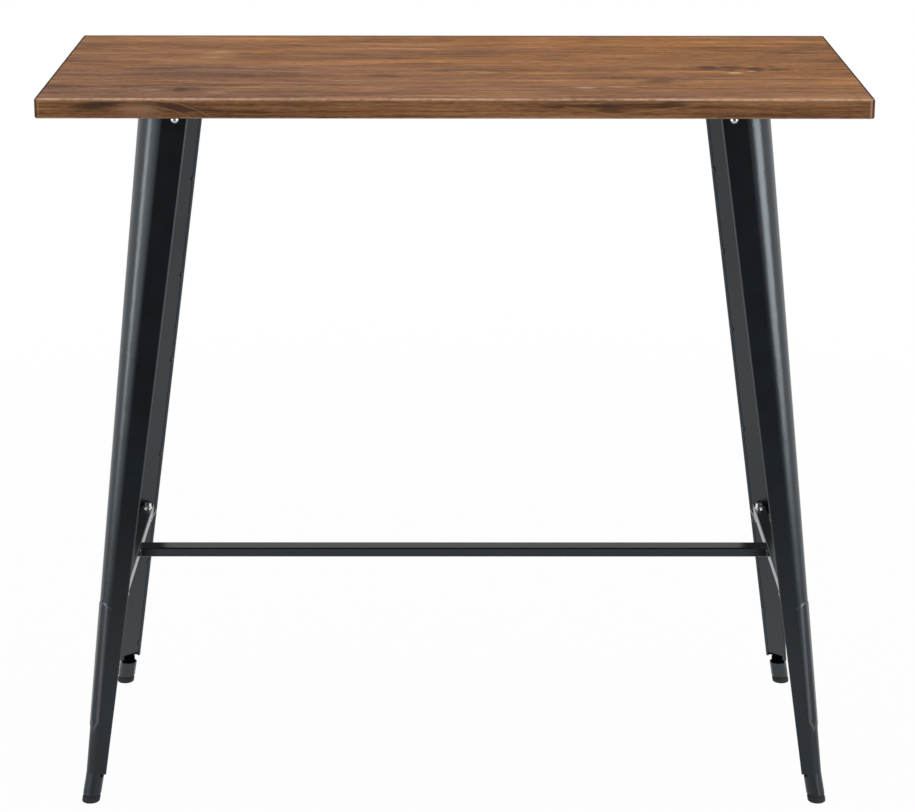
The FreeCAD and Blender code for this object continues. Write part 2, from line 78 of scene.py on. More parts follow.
def length(name, note, value):
    """A size setting in metres."""
    return bpy.props.FloatProperty(name=name, description=note, unit="LENGTH", default=value)


def angle(name, note, degrees):
    """An angle setting, given in degrees."""
    return bpy.props.FloatProperty(
        name=name, description=note, subtype="ANGLE", default=math.radians(degrees))


def share(name, note, value):
    """A setting from nothing to all."""
    return bpy.props.FloatProperty(
        name=name, description=note, subtype="FACTOR", min=0.0, max=1.0, default=value)


class WoodSettings(bpy.types.PropertyGroup):
    """Colours and figure of the stained wood top"""

    umber: colour("Umber", "Streaks that took the most stain", (0.118, 0.055, 0.028))
    brown: colour("Brown", "Dark half of the stained wood", (0.200, 0.094, 0.046))
    russet: colour("Russet", "Middle tone of the stained wood", (0.280, 0.136, 0.068))
    gold: colour("Gold", "Stained wood where it took little colour", (0.368, 0.184, 0.088))
    straw: colour("Straw", "Palest streaks of the stained wood", (0.460, 0.250, 0.130))
    knot: colour("Knot", "Knots and dark streaks on the top", (0.088, 0.042, 0.022))
    blot: colour("Blot", "Dark blots on the front face", (0.088, 0.050, 0.034))
    # The same dark colour also darkens the top towards its rear edge
    edge: colour("Edge", "Sealed end grain and rear edge", (0.030, 0.020, 0.014))
    # Pale is also painted as the highlight near the front's ends and as glints on the top
    pale: colour("Pale", "Bare fibres on the worn front edge", (0.60, 0.386, 0.264))
    board_width: length("Board width", "Width of one glued board across the top", 0.105)
    first_board: length("First board", "Width that shows of the board at the front edge", 0.062)
    roughness: share("Roughness", "Roughness of the lacquer", 0.5)


class SteelSettings(bpy.types.PropertyGroup):
    """Finishes of the steel frame, its fasteners and its feet"""

    coat: colour("Coat", "Charcoal powder coat", (0.0042, 0.0074, 0.0105))
    gloss: colour("Gloss", "Cool tint of the coat's gloss", (0.84, 0.93, 1.0))
    # Painted highlight: the pale line along the ribs' edges stands in for the light their bevels catch
    painted_rib_highlight: colour("Rubbed", "Coat rubbed paler on the ribs' edges", (0.105, 0.112, 0.121))
    roughness: share("Roughness", "Roughness of the coat on the legs", 0.26)
    rail_roughness: share("Rail roughness", "Roughness of the coat on the rails", 0.16)
    peel_depth: length("Peel depth", "Depth of the coat's fine ripple", 0.00003)
    zinc: colour("Zinc", "Bright zinc plate of the bolts", (0.86, 0.87, 0.89))
    rubber: colour("Rubber", "Black rubber of the feet", (0.025, 0.030, 0.034))


class WeldSettings(bpy.types.PropertyGroup):
    """Weld beads on the steel frame"""

    tack_length: length("Tack length", "Length of one tack weld along a leg's seam", 0.010)
    tack_width: length("Tack width", "Width of one tack weld", 0.0056)
    tack_height: length("Tack height", "Height of one tack weld over the sheet", 0.0025)
    bead_radius: length("Bead radius", "Radius of the beads at the foot bar and the tabs", 0.0030)


class StudioSettings(bpy.types.PropertyGroup):
    """Camera, world and floor"""

    camera_place: bpy.props.FloatVectorProperty(
        name="Camera", description="Where the camera stands", subtype="TRANSLATION", unit="LENGTH", size=3,
        default=(-0.01087, -4.43757, 1.81744))
    pitch: angle("Pitch", "How far the camera looks down", 15.8173)
    yaw: angle("Yaw", "How far the camera turns to the right", 0.2121)
    roll: angle("Roll", "How far the camera leans", -0.08)
    lens: bpy.props.FloatProperty(
        name="Lens", description="Focal length on a 36 mm sensor", unit="CAMERA", default=115.349)
    floor: colour("Floor", "Pale floor", (0.5, 0.5, 0.5))
    floor_radius: length("Floor radius", "Where the floor ends in plain white", 3.4)
    sky: share("Sky", "Soft light from all round", 0.22)
    backdrop: share("Backdrop", "White that gloss shows from behind the table", 0.42)
    room: share("Room", "White that gloss shows from the camera's side", 0.02)


class BarTableSettings(bpy.types.PropertyGroup):
    """All settings of the bar table"""

    wood: bpy.props.PointerProperty(type=WoodSettings)
    steel: bpy.props.PointerProperty(type=SteelSettings)
    weld: bpy.props.PointerProperty(type=WeldSettings)
    studio: bpy.props.PointerProperty(type=StudioSettings)


class Wire:
    """One socket of a node tree. Sums on values add Math nodes, and node() adds any other node."""

    def __init__(self, tree, socket=None):
        self.tree = tree
        self.socket = socket

    def node(self, kind, settings=None, inputs=None, output=0):
        """Add a node, apply its settings, fill or link its inputs, and give back one of its outputs."""
        made = self.tree.nodes.new("ShaderNode" + kind)
        for name, value in (settings or {}).items():
            if name == "stops":
                set_stops(made.color_ramp, value)
            else:
                setattr(made, name, value)
        for name, value in (inputs or {}).items():
            if isinstance(value, Wire):
                self.tree.links.new(value.socket, made.inputs[name])
            else:
                made.inputs[name].default_value = value
        return Wire(self.tree, made.outputs[output])

    def math(self, operation, *values):
        """A Math node on values in their order."""
        return self.node("Math", {"operation": operation}, dict(enumerate(values)))

    def __add__(self, other):
        return self.math("ADD", self, other)

    def __sub__(self, other):
        return self.math("SUBTRACT", self, other)

    def __rsub__(self, other):
        return self.math("SUBTRACT", other, self)

    def __mul__(self, other):
        return self.math("MULTIPLY", self, other)

    def __truediv__(self, other):
        return self.math("DIVIDE", self, other)

    def __rtruediv__(self, other):
        return self.math("DIVIDE", other, self)

    def __abs__(self):
        return self.math("ABSOLUTE", self)

    __radd__ = __add__
    __rmul__ = __mul__

    def larger(self, other):
        """The larger of two values."""
        return self.math("MAXIMUM", self, other)

    def smaller(self, other):
        """The smaller of two values."""
        return self.math("MINIMUM", self, other)

    def root(self):
        """The square root of this value."""
        return self.math("SQRT", self)

    def whole(self):
        """The whole number at or below this value."""
        return self.math("FLOOR", self)

    def smooth(self, low, high):
        """0 at low, 1 at high, and an S curve between; high may be the smaller one."""
        return self.node("MapRange", {"interpolation_type": "SMOOTHSTEP"}, {0: self, 1: low, 2: high})

    def clamp(self):
        """This value, held between 0 and 1."""
        return self.node("Clamp", {}, {0: self})

    def between(self, first, second):
        """A colour from first to second by this value."""
        inputs = {0: self, 6: as_colour(first), 7: as_colour(second)}
        return self.node("Mix", {"data_type": "RGBA"}, inputs, 2)

    def tinted(self, tint):
        """This colour multiplied by a tint."""
        settings = {"data_type": "RGBA", "blend_type": "MULTIPLY"}
        return self.node("Mix", settings, {0: 1.0, 6: self, 7: tint}, 2)

    def apart(self):
        """The x, y and z of this place as three values."""
        split = self.node("SeparateXYZ", {}, {0: self})
        return [Wire(self.tree, output) for output in split.socket.node.outputs]

    def point(self, x, y, z):
        """A place made of three values."""
        return self.node("CombineXYZ", {}, {0: x, 1: y, 2: z})

    def vector(self, operation, inputs, output=0):
        """A Vector Math node."""
        return self.node("VectorMath", {"operation": operation}, inputs, output)

    def far(self):
        """How far this place is from the origin."""
        return self.vector("LENGTH", {0: self}, "Value")

    def noise(self, scale, detail=2.0, roughness=0.5):
        """Cloudy noise around one half, at this place."""
        inputs = {"Vector": self, "Scale": scale, "Detail": detail, "Roughness": roughness}
        return self.node("TexNoise", {}, inputs)

    def bump(self, depth):
        """A normal that follows this height, from 0 to 1 over a depth in metres."""
        return self.node("Bump", {}, {"Strength": 1.0, "Distance": depth, "Height": self})


def set_stops(ramp, stops):
    """Give a colour ramp its places and colours."""
    while len(ramp.elements) < len(stops):
        ramp.elements.new(0.5)
    for element, (place, value) in zip(ramp.elements, stops):
        element.position = place
        element.color = as_colour(value)


def as_colour(value):
    """Three numbers as a colour with full alpha; a wire stays as it is."""
    if isinstance(value, Wire):
        return value
    return (*tuple(value)[:3], 1.0)


def new_material(name, **fixed):
    """An empty finish: the place on the object, and a function that links the shader's inputs."""
    material = bpy.data.materials.new(name)
    material.use_nodes = True
    tree = material.node_tree
    shader = tree.nodes["Principled BSDF"]
    for socket, value in fixed.items():
        shader.inputs[socket.replace("_", " ")].default_value = value

    def finish(**links):
        for socket, wire in links.items():
            tree.links.new(wire.socket, shader.inputs[socket.replace("_", " ")])
        return material

    return Wire(tree).node("TexCoord", {}, {}, "Object"), finish


# Marks of the wood, in metres. On the top: x and y of the middle, half sizes along x and y, strength.
# On the front face: x and z of the middle, half sizes along x and z, strength, tilt in radians.
# Knots part the grain. The other marks darken it or make it pale; the last two pale marks on the top are a
# painted glint.
MARK_DEPTH_TOP = 0.03
MARK_DEPTH_FRONT = 0.012
KNOTS_TOP = (
    (-0.400, -0.221, 0.10, 0.055, 0.75),
    (-0.367, 0.118, 0.12, 0.050, 0.80),
    (0.385, -0.027, 0.07, 0.040, 0.75),
    (0.455, -0.034, 0.08, 0.045, 0.75),
    (-0.105, -0.099, 0.06, 0.030, 0.60),
)
DARK_FRONT = (
    (-0.510, 1.0900, 0.050, 0.0095, 1.00, 0.13),
    (-0.405, 1.0900, 0.062, 0.0120, 0.95, -0.16),
    (-0.345, 1.0840, 0.050, 0.0090, 0.45, -0.30),
    (0.216, 1.0895, 0.036, 0.0110, 0.85, -0.15),
    (0.306, 1.0905, 0.030, 0.0085, 0.70, 0.15),
    (0.147, 1.0900, 0.024, 0.0060, 0.50, 0.0),
)
DARK_TOP = (
    (-0.398, -0.224, 0.017, 0.026, 0.95),
    (-0.395, -0.215, 0.070, 0.040, 0.30),
    (-0.347, -0.178, 0.070, 0.016, 0.50),
    (-0.483, -0.179, 0.070, 0.020, 0.40),
    (-0.402, 0.110, 0.030, 0.016, 0.45),
    (-0.335, 0.112, 0.030, 0.022, 0.55),
    (-0.285, 0.191, 0.150, 0.010, 0.45),
    (0.384, -0.021, 0.023, 0.028, 1.00),
    (0.393, -0.028, 0.010, 0.015, 0.80),
    (0.421, -0.022, 0.028, 0.018, 1.00),
    (0.416, -0.052, 0.020, 0.012, 0.90),
    (0.454, -0.036, 0.019, 0.037, 1.00),
    (0.481, -0.011, 0.011, 0.011, 0.70),
    (0.484, -0.040, 0.017, 0.011, 0.70),
    (0.425, -0.030, 0.110, 0.045, 0.22),
    (0.300, -0.150, 0.050, 0.034, 0.70),
    (-0.088, 0.065, 0.050, 0.016, 0.50),
    (-0.105, -0.099, 0.024, 0.012, 0.65),
    (0.012, -0.046, 0.110, 0.012, 0.45),
    (0.226, -0.045, 0.090, 0.014, 0.40),
    (0.522, 0.117, 0.040, 0.012, 0.55),
    (-0.455, -0.030, 0.070, 0.018, 0.35),
)
PALE_AND_GLINT_TOP = (
    (-0.365, 0.127, 0.022, 0.011, 0.55),
    (-0.373, 0.073, 0.028, 0.009, 0.40),
    (-0.370, 0.100, 0.070, 0.050, 0.20),
    (-0.439, -0.225, 0.026, 0.016, 0.35),
    (-0.344, -0.248, 0.024, 0.024, 0.28),
    (0.421, -0.071, 0.016, 0.013, 1.00),
    (0.450, -0.012, 0.010, 0.008, 0.50),
    (0.447, -0.055, 0.010, 0.009, 0.60),
    (0.022, -0.058, 0.040, 0.009, 0.40),
    (0.050, -0.068, 0.022, 0.009, 0.45),
    # Painted glint: a thin highlight line painted pale
    (0.191, -0.204, 0.024, 0.011, 0.85),
    (0.240, -0.197, 0.026, 0.010, 0.55),
)
PALE_FRONT = ((-0.452, 1.084, 0.045, 0.014, 0.32, 0.0),)
SPOT_FADE = (1.0, 0.1)
KNOT_FADE = (1.0, 0.0)

# Pale growth lines on the front face: x and z of a point, slope and curve there, and both ends along x
GROWTH_LINES = (
    (-0.457, 1.0868, 0.0, -4.9, -0.500, -0.400),
    (-0.457, 1.0903, 0.0, -2.65, -0.448, -0.368),
    (-0.457, 1.1027, 0.0, -2.455, -0.412, -0.340),
    (0.234, 1.0790, 0.0965, 0.0, 0.225, 0.352),
    (0.216, 1.0790, -0.16, 0.0, 0.150, 0.245),
)
LINE_FADE = (0.0013, 0.0004)
LINE_TIP = 0.012
LINE_WAVER = 0.004
LINE_SHARE = 0.40

# Layers of the grain: waves per metre along x, y and z, shares of the shift along x, y and z, then the
# noise's detail and roughness. The seed sets the boards' own shifts.
GRAIN = {
    "wander": ((2.2, 9.0, 0.0), (7.0, 0.0, 2.3), 2.0, 0.50),
    "band": ((2.6, 15.0, 70.0), (5.0, 1.0, 0.0), 2.0, 0.50),
    "streak": ((3.0, 46.0, 190.0), (3.0, 2.5, 3.1), 4.0, 0.65),
    "fine": ((11.0, 95.0, 330.0), (0.0, 3.0, 0.0), 3.0, 0.65),
    "fibre": ((60.0, 230.0, 620.0), (0.0, 0.0, 0.0), 2.0, 0.60),
    "blush": ((4.5, 10.0, 40.0), (0.0, 0.0, 0.0), 2.0, 0.50),
    "rub": ((55.0, 60.0, 60.0), (0.0, 0.0, 0.0), 3.0, 0.70),
    "patch": ((6.0, 0.0, 0.0), (0.0, 0.3, 0.7), 2.0, 0.50),
}
BOARD_SEED = 0.37

# Shares of the layers in the wood's tone, in the ragged edges of its marks and in its relief
TONE = {"band": 1.2, "streak": 1.5, "fine": 1.4, "fibre": 1.1, "board": 0.10}
TONE_MIDDLE = 0.52
RAG = {"streak": 1.2, "fine": 1.6, "fibre": 0.8}
RAG_PALE = 0.4
RELIEF = {"streak": 0.4, "fibre": 0.5, "fine": 0.3}
RELIEF_DEPTH = 0.00012

# Glued joints, in board widths from a board's middle, and what streaks and sealed ends add to the roughness
JOINT_FADE, JOINT_SHARE = (0.488, 0.496), 0.30
ROUGH_STREAK, ROUGH_END = 0.25, 0.4

# Tints of the top: the stain at the far right, the stain with a painted sheen at the near left, and the front
# face
CAST_WARM = (1.08, 0.920, 0.56)
CAST_SHEEN = (0.885, 0.86, 0.91)
CAST_FRONT = (0.965, 0.915, 0.845)
CAST_BLUSH = 1.4

# Edges of the top, in metres from its faces: where each finish begins and where it is full
FRONT_FADE = (0.0030, 0.0015)
END_FADE, END_OFF_FRONT = (0.0050, 0.0032), 0.5
REAR_FADE, REAR_SHARE = (0.0170, 0.0090), 0.5
RIM_FADE, RIM_RUB, RIM_PATCH = (0.0038, 0.0020), 0.6, 0.4
FOOT_FADE, FOOT_RUB = (0.0028, 0.0016), 0.6
# A painted highlight down the front face near each end, stronger at the right
POST_INSET, POST_FADE = 0.0055, (0.0022, 0.0008)
POST_LEFT, POST_MORE_RIGHT, POST_TURN = 0.2, 0.35, (-0.1, 0.1)
BARE_FADE = (-0.2, 0.1)


def top_marks(rows):
    """Marks on the top as middles, half sizes, strengths and tilts."""
    return [((x, y, TOP_HIGH.z), (long, wide, MARK_DEPTH_TOP), strength, 0.0)
            for x, y, long, wide, strength in rows]


def front_marks(rows):
    """Marks on the front face as middles, half sizes, strengths and tilts."""
    return [((x, TOP_LOW.y, z), (long, MARK_DEPTH_FRONT, tall), strength, tilt)
            for x, z, long, tall, strength, tilt in rows]


def stretched(place, middle, size, tilt):
    """A place measured from a middle in half sizes, along axes that tilt about y."""
    inputs = {"Vector": place, "Location": middle, "Rotation": (0.0, -tilt, 0.0), "Scale": size}
    return place.node("Mapping", {"vector_type": "TEXTURE"}, inputs)


def spots(place, marks, rag):
    """Soft spots added up: each is full in its middle and fades at its half size, by a ragged edge."""
    total = 0.0
    for middle, size, strength, tilt in marks:
        far = stretched(place, middle, size, tilt).far()
        total = (far + rag).smooth(*SPOT_FADE) * strength + total
    return total


def growth_lines(x, z):
    """Thin lines z = z0 + s (x - x0) + c (x - x0)^2, each between its two ends."""
    total = 0.0
    for x0, z0, slope, curve, first, last in GROWTH_LINES:
        along = x - x0
        off = abs(z - z0 - (along * curve + slope) * along)
        ends = x.smooth(first, first + LINE_TIP) * x.smooth(last, last - LINE_TIP)
        total = off.smooth(*LINE_FADE) * ends + total
    return total


def parted(place):
    """A place that changes slowly near a knot, so that the grain runs round it."""
    flow = place
    for middle, size, strength, tilt in top_marks(KNOTS_TOP):
        near = stretched(place, middle, size, tilt)
        pull = near.far().smooth(*KNOT_FADE) * -strength
        push = near.vector("MULTIPLY", {0: near, 1: size})
        push = near.vector("SCALE", {0: push, "Scale": pull})
        flow = near.vector("ADD", {0: flow, 1: push})
    return flow


def grain(place, layer, shift=None):
    """One grain layer around zero: noise at w p + s q, from waves w, place p, shares s and shift q.

    Without a shift the shares themselves are the shift.
    """
    waves, shares, detail, roughness = GRAIN[layer]
    moved = shares if shift is None else shift.vector("MULTIPLY", {0: shift, 1: shares})
    spot = place.vector("MULTIPLY_ADD", {0: place, 1: waves, 2: moved})
    return spot.noise(1.0, detail, roughness) - 0.5


def grain_layers(flow, board):
    """The layers of the figure, drawn out along x. Each board has its own lot of three shifts."""
    seed = {"W": board + BOARD_SEED}
    lot = flow.node("TexWhiteNoise", {"noise_dimensions": "1D"}, seed, "Color").apart()
    wander = grain(flow, "wander", flow.point(lot[0], 0.0, board))
    return {
        "band": grain(flow, "band", flow.point(lot[1], wander, 0.0)),
        "streak": grain(flow, "streak", flow.point(lot[0], wander, board)),
        "fine": grain(flow, "fine", flow.point(0.0, wander, 0.0)),
        "fibre": grain(flow, "fibre"),
        "board": lot[2] - 0.5,
    }


def weigh(layers, shares, base=0.0):
    """A base and the layers of the grain added up, each by its share."""
    return sum((layers[name] * part for name, part in shares.items()), base)


def marked(wood, body, place, layers, front, joint):
    """The wood's colour with its dark marks and joints, its pale marks and the front's growth lines."""
    x, _, z = place.apart()
    rag = weigh(layers, RAG)
    dark = spots(place, front_marks(DARK_FRONT) + top_marks(DARK_TOP), rag) + joint
    body = dark.clamp().between(body, front.between(wood.knot, wood.blot))
    light = spots(place, top_marks(PALE_AND_GLINT_TOP) + front_marks(PALE_FRONT), rag * RAG_PALE)
    body = light.clamp().between(body, wood.pale)
    lines = growth_lines(x, z + layers["streak"] * LINE_WAVER) * front
    return (lines * LINE_SHARE).clamp().between(body, wood.straw)


def stain_and_sheen_cast(place, flow, front):
    """The stain's tint with a painted sheen: warm at the far right, greyer and cooler towards the near left
    where the sheen is painted, in soft patches.
    """
    x, y, _ = place.apart()
    # Painted sheen: the top's tint turns greyer and cooler towards the near left
    cool = (x.smooth(TOP_HIGH.x, TOP_LOW.x) + y.smooth(TOP_HIGH.y, TOP_LOW.y)) * 0.5
    cool = cool + grain(flow, "blush") * CAST_BLUSH
    return front.between(cool.clamp().between(CAST_WARM, CAST_SHEEN), CAST_FRONT)


def top_edges(place, front):
    """Three masks: the sealed end faces, these with the dark rear edge, and the worn edges of the front with
    a painted highlight near its two ends.
    """
    x, y, z = place.apart()
    end, fore, back = TOP_HIGH.x - abs(x), y - TOP_LOW.y, TOP_HIGH.y - y
    drop, rise = TOP_HIGH.z - z, z - TOP_LOW.z
    ends = end.smooth(*END_FADE) * (1.0 - front * END_OFF_FRONT)
    rear = (back + drop).smooth(*REAR_FADE) * REAR_SHARE
    rub = grain(place, "rub").smooth(*BARE_FADE)
    patch = grain(place, "patch").smooth(*BARE_FADE)
    rim = (fore + drop).smooth(*RIM_FADE) * (rub * RIM_RUB + patch * RIM_PATCH)
    foot = (fore + rise).smooth(*FOOT_FADE) * rub * FOOT_RUB
    # Painted highlight: a pale line down the front face near each end, stronger at the right
    post = abs(end - POST_INSET).smooth(*POST_FADE) * front
    post = post * (x.smooth(*POST_TURN) * POST_MORE_RIGHT + POST_LEFT)
    worn_and_highlit = rim.larger(foot).larger(post) * (1.0 - ends)
    return ends, ends.larger(rear), worn_and_highlit


def wood_finish(wood):
    """Stained wood of glued boards: streaks along x that part round knots, growth lines and worn edges."""
    place, finish = new_material("stained_pine", Specular_IOR_Level=0.06)
    y = place.apart()[1]
    front = (y - TOP_LOW.y).smooth(*FRONT_FADE)
    across = (y - (TOP_LOW.y + wood.first_board)) / wood.board_width
    board = across.whole()
    joint = abs(across - board - 0.5).smooth(*JOINT_FADE) * JOINT_SHARE

    flow = parted(place)
    layers = grain_layers(flow, board)
    tone = weigh(layers, TONE, TONE_MIDDLE)
    stops = ((0.0, wood.umber), (0.28, wood.brown), (0.52, wood.russet), (0.78, wood.gold), (1.0, wood.straw))
    body = tone.node("ValToRGB", {"stops": stops}, {0: tone})
    body = marked(wood, body, place, layers, front, joint)
    body = body.tinted(stain_and_sheen_cast(place, flow, front))

    ends, ends_and_rear, worn_and_highlit = top_edges(place, front)
    body = ends_and_rear.between(body, wood.edge)
    body = worn_and_highlit.between(body, wood.pale)
    rough = wood.roughness + layers["streak"] * ROUGH_STREAK + ends * ROUGH_END
    return finish(Base_Color=body, Roughness=rough, Normal=weigh(layers, RELIEF).bump(RELIEF_DEPTH))


# The legs' shape in metres, as the solids have it: at the underside of the top and at the end of the folds
LEG_TOP_Z = TOP_LOW.z
LEG_FOLDS_Z = 0.046
LEG_OUTER_X, LEG_LEAN_X = 0.466, 0.104
LEG_OUTER_Y, LEG_LEAN_Y = 0.176, 0.089
LEG_WIDTH_TOP, LEG_WIDTH_LOW = 0.077, 0.0315
LEG_ROUND_TOP, LEG_ROUND_LOW = 0.0385, 0.014
LEG_FOLD = 0.0025
SEAM_FROM_FOLD = 0.0045
HALF_ROOT = math.sqrt(0.5)

# The pressed rib, the highlight painted along its outline, the soft land on it, and the land's grid with the
# turn that is left off at its two tips
RIB_LOW_Z, RIB_HIGH_Z = 0.1165, 0.3165
RIB_SHIFT, RIB_HALF, RIB_POINT = 0.0025, 0.0062, 0.0125
RIB_RISE = 0.001
RIB_HIGHLIGHT_FADE, RIB_HIGHLIGHT_CORNER = (0.0030, 0.0004), (0.3, 0.5)
RIB_HIGHLIGHT_SIDE, RIB_HIGHLIGHT_MORE, RIB_HIGHLIGHT_LEAST = (-0.004, 0.003), 0.5, 0.45
LAND_LOW_Z, LAND_HIGH_Z = 0.1178, 0.3170
LAND_HALF, LAND_POINT, LAND_BEVEL = 0.0092, 0.0145, 0.0036
LAND_RISE, LAND_SINK, LAND_ROOT = 0.0006, 0.0002, 0.0008
LAND_ROWS, LAND_COLUMNS, LAND_TIP = 64, 23, 0.12

# Finishes of the steel, the zinc and the rubber: noise scales per metre, fades, tints and roughness
PEEL_SCALE, DULL_SCALE = 900.0, 22.0
DULL_FADE, DULL_TINT, DULL_ROUGH = (0.3, 0.7), 0.8, 0.06
ZINC_CLOUD_SCALE, ZINC_SCUFF_SCALE, ZINC_SCUFF_DEPTH = 160.0, 2400.0, 0.00002
ZINC_WARM, ZINC_WARM_FADE = (0.96, 0.93, 0.84), (0.4, 0.7)
ZINC_ROUGH, ZINC_ROUGH_MORE = 0.20, 0.12
RUBBER_GRAIN_SCALE, RUBBER_GRAIN_DEPTH = 1500.0, 0.00004
RUBBER_ROUGH, RUBBER_ROUGH_MORE = 0.62, 0.2
DUST, DUST_SCALE, DUST_FADE, DUST_SHARE = (0.06, 0.06, 0.06), 120.0, (0.006, 0.0), 0.4
# Painted shade: a near-black band in the crease over the pad
CREASE_SHADE, CREASE_SHADE_SHARE = (0.002, 0.002, 0.002), 0.9
CREASE_LOW, CREASE_HIGH = (0.0088, 0.0092), (0.0104, 0.0099)


def leg_lean(z):
    """How far down the leg a height is: 0 under the top and 1 on the floor."""
    return (LEG_TOP_Z - z) * (1.0 / LEG_TOP_Z)


def leg_taper(z, low, top):
    """A size of the leg that changes evenly from the end of the folds to the underside of the top."""
    return (z - LEG_FOLDS_Z) * ((top - low) / (LEG_TOP_Z - LEG_FOLDS_Z)) + low


def rib_outline(side, z):
    """Depth inside the rib's outline, round at its top and pointed at its foot; negative outside it."""
    over = (z - (RIB_HIGH_Z - RIB_HALF)).larger(0.0)
    arched = RIB_HALF - (side * side + over * over).root()
    pointed = ((z - RIB_LOW_Z) * RIB_HALF - side * RIB_POINT) / math.hypot(RIB_HALF, RIB_POINT)
    return arched.smaller(pointed)


def rib_painted_highlight(place):
    """Painted highlight along the edges of the pressed rib, from 0 to 1."""
    x, y, z = place.apart()
    radius = leg_taper(z, LEG_ROUND_LOW, LEG_ROUND_TOP)
    down = leg_lean(z)
    east = abs(x) - (down * LEG_LEAN_X + LEG_OUTER_X - radius)
    north = abs(y) - (down * LEG_LEAN_Y + LEG_OUTER_Y - radius)
    side = (north - east) * HALF_ROOT - RIB_SHIFT
    line = abs(rib_outline(abs(side), z)).smooth(*RIB_HIGHLIGHT_FADE)
    outer = ((east + north) * HALF_ROOT / radius).smooth(*RIB_HIGHLIGHT_CORNER)
    return line * (side.smooth(*RIB_HIGHLIGHT_SIDE) * RIB_HIGHLIGHT_MORE + RIB_HIGHLIGHT_LEAST) * outer


def coat_finish(steel, name, roughness, ribbed=False):
    """Satin powder coat: nearly black, with a fine ripple, faint dull patches and a highlight painted along
    the legs' ribs.
    """
    place, finish = new_material(name, Specular_IOR_Level=0.75, Specular_Tint=as_colour(steel.gloss))
    ripple = place.noise(PEEL_SCALE)
    patch = place.noise(DULL_SCALE, detail=3.0)
    deep = tuple(DULL_TINT * part for part in steel.coat)
    body = patch.smooth(*DULL_FADE).between(deep, steel.coat)
    if ribbed:
        # Painted highlight: paler coat along the rib's outline on the outer corner, stronger on one side
        body = rib_painted_highlight(place).clamp().between(body, steel.painted_rib_highlight)
    rough = roughness + (patch - 0.5) * DULL_ROUGH
    return finish(Base_Color=body, Roughness=rough, Normal=ripple.bump(steel.peel_depth))


def zinc_finish(steel):
    """Zinc plate: bright metal with a faint yellow cast in places and fine scuffs."""
    place, finish = new_material("zinc_plate", Metallic=1.0)
    cloud = place.noise(ZINC_CLOUD_SCALE, detail=3.0)
    scuff = place.noise(ZINC_SCUFF_SCALE)
    warm = tuple(part * tint for part, tint in zip(steel.zinc, ZINC_WARM))
    body = cloud.smooth(*ZINC_WARM_FADE).between(steel.zinc, warm)
    rough = ZINC_ROUGH + cloud * ZINC_ROUGH_MORE
    return finish(Base_Color=body, Roughness=rough, Normal=scuff.bump(ZINC_SCUFF_DEPTH))


def rubber_finish(steel):
    """Moulded rubber: dull black with a fine grain, a painted shade in the crease over the pad and a little
    floor dust.
    """
    place, finish = new_material("black_rubber", Specular_IOR_Level=0.35)
    z = place.apart()[2]
    moulded = place.noise(RUBBER_GRAIN_SCALE)
    cloud = place.noise(DUST_SCALE, detail=3.0)
    dust = z.smooth(*DUST_FADE) * cloud * DUST_SHARE
    body = dust.clamp().between(steel.rubber, DUST)
    # Painted shade in the crease over the pad
    crease_shade = z.smooth(*CREASE_LOW) * z.smooth(*CREASE_HIGH) * CREASE_SHADE_SHARE
    body = crease_shade.between(body, CREASE_SHADE)
    rough = RUBBER_ROUGH + cloud * RUBBER_ROUGH_MORE
    return finish(Base_Color=body, Roughness=rough, Normal=moulded.bump(RUBBER_GRAIN_DEPTH))


def dress(material, *names):
    """Give CAD nodes a finish."""
    for name in names:
        node = NODES[name]
        node.data.materials.clear()
        node.data.materials.append(material)


def like(start):
    """Names of the CAD nodes that start alike."""
    return [name for name in NODES if name.startswith(start)]


class TABLE_OT_wood_top(bpy.types.Operator):
    """Give the top its stained wood"""

    bl_idname = "bar_table.wood_top"
    bl_label = "Wood Top"

    def execute(self, context):
        dress(wood_finish(context.scene.bar_table.wood), "tabletop")
        return {"FINISHED"}


class TABLE_OT_coated_steel(bpy.types.Operator):
    """Give the legs, rails and tabs their powder coat"""

    bl_idname = "bar_table.coated_steel"
    bl_label = "Coated Steel"

    def execute(self, context):
        steel = context.scene.bar_table.steel
        leg_coat = coat_finish(steel, "leg_coat", steel.roughness, ribbed=True)
        dress(leg_coat, *like("leg_front"), *like("leg_rear"))
        rail_coat = coat_finish(steel, "rail_coat", steel.rail_roughness)
        dress(rail_coat, "foot_bar", *like("side_rail"), *like("rail_tab"))
        return {"FINISHED"}


class TABLE_OT_fasteners(bpy.types.Operator):
    """Give the bolts, washers, nuts, screws and corner brackets their zinc plate"""

    bl_idname = "bar_table.fasteners"
    bl_label = "Fasteners"

    def execute(self, context):
        names = ["leg_bolts", "rail_bolts", "rail_washers", "rail_nuts", "bracket_screws",
                 "bracket_weld_nuts", *like("top_bracket")]
        dress(zinc_finish(context.scene.bar_table.steel), *names)
        return {"FINISHED"}


class TABLE_OT_feet(bpy.types.Operator):
    """Give the feet their rubber"""

    bl_idname = "bar_table.feet"
    bl_label = "Rubber Feet"

    def execute(self, context):
        dress(rubber_finish(context.scene.bar_table.steel), *like("rubber_foot"))
        return {"FINISHED"}


# Heights of the tack welds on the seams of the left legs and of the right legs, in metres
TACKS_LEFT = (0.886, 0.725, 0.579, 0.414, 0.219, 0.070)
TACKS_RIGHT = (0.902, 0.766, 0.633, 0.459, 0.296, 0.131)
SEAM_STEP = 0.01

# Weld beads: rings between the poles, points on a ring, ripples along a bead and their height
BEAD_RINGS, BEAD_SIDES = 13, 14
BEAD_RIPPLES, BEAD_RIPPLE = 10.0, 0.1
BAR_WELD_SHARE, TAB_WELD_SHARE = 0.96, 0.46

# What turns a rear right place into each leg's: front left, front right, rear left, rear right
FOUR_CORNERS = np.array([(-1.0, -1.0, 1.0), (1.0, -1.0, 1.0), (-1.0, 1.0, 1.0), (1.0, 1.0, 1.0)])


